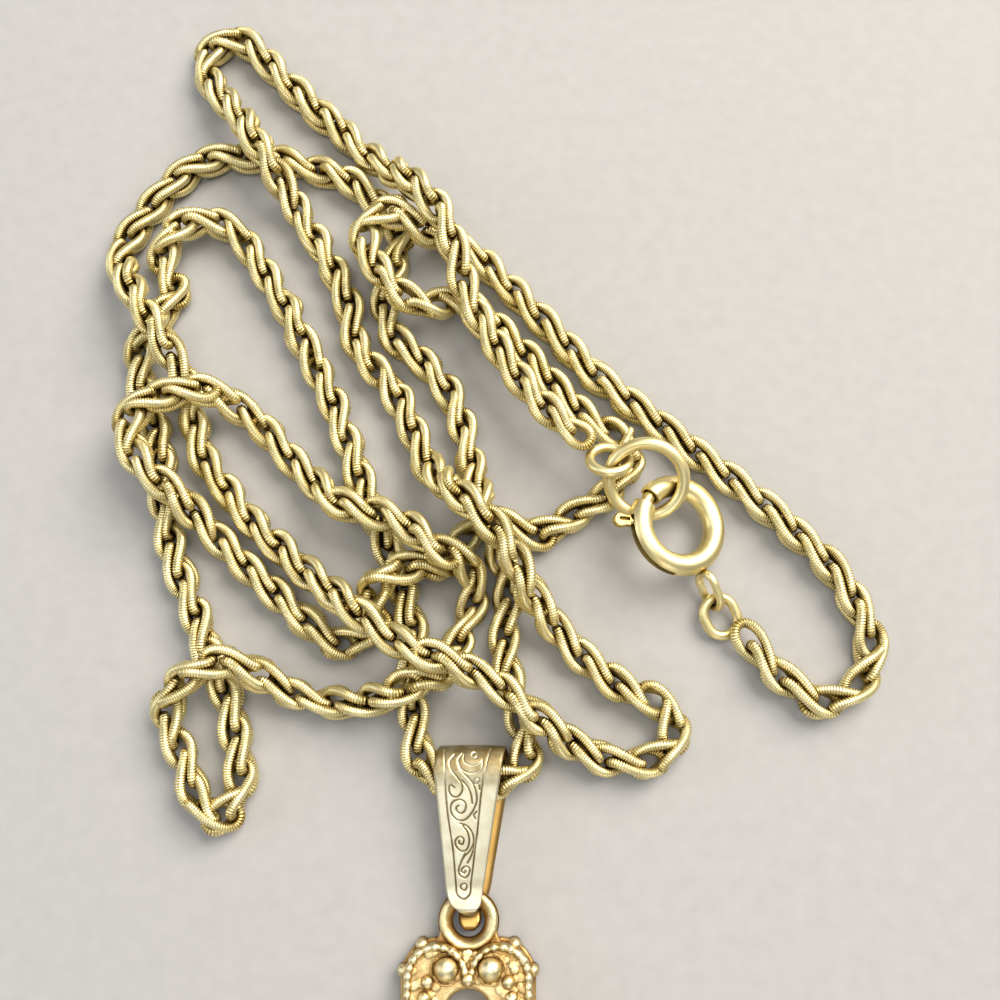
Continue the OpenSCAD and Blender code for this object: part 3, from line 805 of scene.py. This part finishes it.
def crossRims():
    # One rim from the middle of each arm's end, down its side, round the medallion and up the next arm's side
    rimRng, parts = np.random.default_rng(cross["seed"]), []
    order = list(cross["arms"].items())
    for (degrees, length), (nextDegrees, nextLength) in zip(order, order[1:] + order[:1]):
        ownSide = turned((armSide(length, -cross["rimInset"], cross["rimEnd"]) * (-1, 1))[::-1], degrees)
        nextSide = turned(armSide(nextLength, -cross["rimInset"], cross["rimEnd"]), nextDegrees)
        path = np.vstack([ownSide, nextSide[1:]])
        run = lengthAlong(path)
        at = np.arange(0, run[-1], cross["rimStep"])
        even = np.column_stack([np.interp(at, run, path[:, 0]), np.interp(at, run, path[:, 1])])
        marks = np.arange(0, run[-1] + 2, cross["lumpLength"])
        heights = rimRng.uniform(*cross["lumpRange"], len(marks)) * (-1) ** np.arange(len(marks))
        lumps = np.interp(at, marks, heights)
        radius = cross["rimRadius"] + cross["rimLumps"] * lumps
        line = np.column_stack([even + cross["at"], np.full(len(at), cross["frontTop"] + cross["raise"])])
        dips = np.maximum(0, -np.concatenate([lumps[:1], lumps, lumps[-1:]]))
        darkening = np.repeat(cross["rimTarnish"] + cross["dipDarkening"] * dips, cross["rimSides"])
        parts.append(sweptTube(line, radius, cross["rimSides"], darkening))
    return parts


def domeOutline(radius, base, height, points):
    # From the top of a dome down to where it is widest
    turn = np.radians(np.linspace(90, 0, points))
    return np.column_stack([radius * np.cos(turn), base + height * np.sin(turn)])


def boss(x, y, radius, base):
    # A dome in a sunken collar
    dome = domeOutline(radius, base, radius * cross["domeShare"], cross["domePoints"])
    collar = [(radius + out, base + up) for out, up in cross["collar"]]
    profile = np.vstack([dome, collar, (0, base - cross["collarDepth"])])
    # Palest on the dome, darkest in the ditch round it
    places, profileDarkening = [0, 5, 8, 9, 10, len(profile) - 1], [0, 0.1, 0.6, 0.85, 0.25, 0.5]
    darkening = np.interp(np.arange(len(profile)), places, profileDarkening)
    return turnedPart(profile, (x, y), cross["bossSteps"], tarnish=darkening)


def bead(x, y):
    # A dome on a post, which stands at the edge of both layers
    r, top, low = cross["beadRadius"], cross["beadTop"], cross["beadLow"]
    dome = domeOutline(r, top - r, r, cross["beadPoints"])
    post = np.vstack([dome, [(r * 0.84, top - r - 0.12), (r * 1.05, 0.85), (r, low), (0, low)]])
    darkening = np.interp(np.arange(len(post)), [0, 5, 8, len(post) - 1], [0, 0.15, 0.5, 0.3])
    return turnedPart(post, (x, y), cross["beadSteps"], tarnish=darkening)


def inside(spots, loop):
    # Which spots lie in a loop, by how often it passes to the right of each
    x, y = spots[:, :1], spots[:, 1:]
    a, b = loop, np.roll(loop, -1, axis=0)
    reach = a[:, 0] + (b[:, 0] - a[:, 0]) * (y - a[:, 1]) / (b[:, 1] - a[:, 1] + 1e-12)
    return np.sum(((a[:, 1] > y) != (b[:, 1] > y)) & (x < reach), axis=1) % 2 == 1


def groundLumps():
    lumpRng = np.random.default_rng(cross["seed"] + 1)
    spots = lumpRng.uniform(*cross["ground"], (cross["lumpTries"], 2))
    free = inside(spots, crossOutline(-cross["groundInset"]))
    for hole in crossWindows(cross["groundGap"]):
        free &= ~inside(spots, hole)
    parts, base = [], cross["frontTop"]
    for spot in spots[free] + cross["at"]:
        r, h = lumpRng.uniform(*cross["lumpRadii"]), lumpRng.uniform(*cross["lumpHeights"])
        foot = base - cross["lumpFoot"]
        slope = [(r * 0.45, base + h * 0.85), (r * 0.8, base + h * 0.4)]
        profile = [(0, base + h), *slope, (r, foot), (0, foot)]
        parts.append(turnedPart(profile, spot, cross["lumpSteps"], tarnish=cross["lumpDarkening"]))
    return parts


def crossRelief():
    # All that stands on the layers but the rims
    parts = groundLumps()
    middleX, middleY = cross["at"]
    base = cross["frontTop"]
    cornerX, cornerFrom = cross["cornerGrain"]

    def grainAt(x, y, share=1):
        centre = (middleX + x, middleY + y, base + cross["raise"])
        parts.append(ballPart(centre, cross["grainRadius"] * share, cross["grainTarnish"]))

    for degrees, length in cross["arms"].items():
        grains = [(0.0, length - cross["topGrainFrom"])]
        down = np.arange(0, cross["endLength"] - cross["grainFrom"] - cross["grainEnd"], cross["grainStep"])
        for s in (-1, 1):
            grains.append((s * cornerX, length - cornerFrom))
            grains += [(s * cross["grainX"], length - cross["grainFrom"] - d) for d in down]
        rowY = length - cross["windowFrom"] - cross["windowLength"] - cross["rowGap"]
        grains += [(x, rowY) for x in cross["rowX"]]
        for x, y in turned(grains, degrees):
            grainAt(x, y)
        for s in (-1, 1):
            x, y = turned([(s * cross["bossX"], length - cross["bossFrom"])], degrees)[0]
            parts.append(boss(middleX + x, middleY + y, cross["bossRadius"], base))
            for x, y in turned([(s * out, length - back) for out, back in cross["beads"]], degrees):
                parts.append(bead(middleX + x, middleY + y))
    # The medallion's middle: a domed boss in a ring of grains
    parts.append(boss(middleX, middleY, cross["centreBoss"], base))
    turns = np.radians(np.arange(0, 360, cross["circleStep"]))
    for x, y in polar(cross["circleRadius"], turns):
        grainAt(x, y, cross["circleShare"])
    return parts


def hangingRing():
    # Flat below, hollowed towards its hole, and brown in the crease of its outer side
    r, hole, low, top = cross["ringRadius"], cross["ringHole"], cross["ringLow"], cross["ringTop"]
    profile = [(hole, low), (hole, low + 0.35), (hole + 0.07, low + 0.58), (hole + 0.2, low + 0.8),
               (hole + 0.34, low + 0.95), (hole + 0.46, top - 0.02), (hole + 0.58, top),
               (r - 0.26, top - 0.01), (r - 0.15, top - 0.08), (r - 0.1, top - 0.22), (r - 0.1, low + 0.5),
               (r - 0.02, low + 0.46), (r, low + 0.36), (r, low + 0.06), (r - 0.06, low)]
    darkening = [0.95, 0.7, 0.45, 0.25, 0.14, 0.1, 0.1, 0.1, 0.1, 0.3, 0.8, 0.35, 0.2, 0.3, 0.6]
    middle = (cross["at"][0], cross["at"][1] + cross["ringY"])
    return turnedPart(profile[::-1], middle, cross["ringSteps"], True, darkening[::-1])


def ringWeb():
    # The web between the hanging ring and the two upper lobes
    side = curveThrough([(1.1, 11.4), (2.3, 12.0), (2.12, 12.3), (1.92, 12.7), (1.8, 13.1)], 5)
    underRing = arc((0, cross["ringY"]), cross["webArc"], -20, -160, 10)
    loop = np.vstack([side, underRing, (side * (-1, 1))[::-1]]) + cross["at"]
    levels = [(0.05, 0.3), (0, 0.36), (0, 1.15), (0.05, 1.25), (0.16, 1.3)]
    return platePart([loop], levels, cross["frontTarnish"])


def crossLayer(edge, levels, tarnish):
    # One layer where it lies, with its outline moved outwards by edge
    loops = [crossOutline(edge), *crossWindows()]
    return platePart([loop + cross["at"] for loop in loops], levels, tarnish)


backTop, frontTop = cross["backTop"], cross["frontTop"]
# The worn edges of the two layers
backLevels = [(0.12, 0.0), (0.03, 0.04), (0, 0.14), (0, backTop - 0.14), (0.05, backTop - 0.04),
              (0.16, backTop)]
frontLevels = [(0.02, backTop - 0.1), (0, backTop + 0.1), (0, frontTop - 0.3), (0.06, frontTop - 0.12),
               (0.16, frontTop - 0.02), (0.26, frontTop)]
backLayer = crossLayer(cross["layerEdge"], backLevels, cross["backTarnish"])
frontLayer = crossLayer(0.0, frontLevels, cross["frontTarnish"])
crossParts = {
    "crossLayers": joinedParts([backLayer, frontLayer, ringWeb()]),
    "crossRelief": joinedParts(crossRelief() + crossRims()),
    "crossHangingRing": hangingRing(),
}
for name, part in crossParts.items():
    piece = meshPiece(name, part, [castMaterial])
    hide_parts("cross")

# The clasp's gate: a bent wire, with a flat tab for the thumb
gate = {
    "at": (13.5, 12.4, 2.4), "tilt": (-3, 21),  # mm and degrees about x and y, as in the CAD
    # The wire's arc and the step along it in degrees, and all lengths in mm
    "radius": 2.8, "wire": 0.84, "from": 118, "to": 190, "step": 3, "sides": 16,
    "stemTo": 3.75, "stemRadius": 0.2, "stemPoints": 4, "stemSides": 12,
    # The tab's place, and how far its round end turns to either side of its tip, in degrees
    "tabAt": 180, "tabFrom": 3.68, "tabRound": 4.45, "tabRadius": 0.5, "tabTurn": 115, "tabStep": 12,
    "tabNeck": 0.36, "neckEnd": (-0.35, 0.05), "tabHalf": 0.28,
    "foldFrom": 3.75, "foldTo": 4.5, "foldWidth": 0.1, "foldDepth": 0.17, "foldAside": -0.09,
    "lowTarnish": 0.3, "highTarnish": 0.28,
}


def claspPlaces(points):
    # From the clasp's own place to where it lies
    a, b = (math.radians(t) for t in gate["tilt"])
    aboutX = np.array([[1, 0, 0], [0, math.cos(a), -math.sin(a)], [0, math.sin(a), math.cos(a)]])
    aboutY = np.array([[math.cos(b), 0, math.sin(b)], [0, 1, 0], [-math.sin(b), 0, math.cos(b)]])
    return np.asarray(points) @ (aboutY @ aboutX).T + gate["at"]


def claspGate():
    radius, points = gate["radius"], gate["stemPoints"]
    turn = np.radians(np.arange(gate["from"], gate["to"] + 0.1, gate["step"]))
    bowLine = np.column_stack([polar(radius, turn), 0 * turn])
    bow = sweptTube(bowLine, gate["wire"] / 2, gate["sides"])
    stemLine = np.column_stack([np.linspace(radius, gate["stemTo"], points), np.zeros((points, 2))])
    stem = sweptTube(stemLine, gate["stemRadius"], gate["stemSides"])
    neck, end, half = gate["tabNeck"], gate["tabRound"], gate["tabHalf"]
    neckX, neckY = end + gate["neckEnd"][0], neck + gate["neckEnd"][1]
    start = gate["tabFrom"]
    roundEnd = arc((end, 0), gate["tabRadius"], -gate["tabTurn"], gate["tabTurn"], gate["tabStep"])
    outline = np.vstack([(start, -neck), (neckX, -neckY), roundEnd, (neckX, neckY), (start, neck)])
    fold = turned(roundSlot(gate["foldWidth"], gate["foldTo"], gate["foldTo"] - gate["foldFrom"]), -90)
    seam = half - gate["foldDepth"]
    lowLevels = [(0.16, -half), (0.05, 0.06 - half), (0, 0.16 - half), (0, seam + 0.01)]
    highLevels = [(0, seam), (0, half - 0.12), (0.04, half - 0.04), (0.1, half)]
    low = platePart([outline], lowLevels, gate["lowTarnish"])
    high = platePart([outline, fold + (0, gate["foldAside"])], highLevels, gate["highTarnish"])
    trigger = joinedParts([stem, low, high])
    trigger["points"][:, :2] = turned(trigger["points"][:, :2], gate["tabAt"])
    whole = joinedParts([bow, trigger])
    whole["points"] = claspPlaces(whole["points"])
    return whole


gatePiece = meshPiece("claspGate", claspGate(), [burnishedMaterial], body="gate")
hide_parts("clasp_gate")

# The clasp's body and the rings keep their CAD shapes
for node in ("clasp_body", "end_ring", "large_jump_ring", "small_jump_ring"):
    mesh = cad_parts[node].data
    mesh.materials.clear()
    mesh.materials.append(burnishedMaterial)
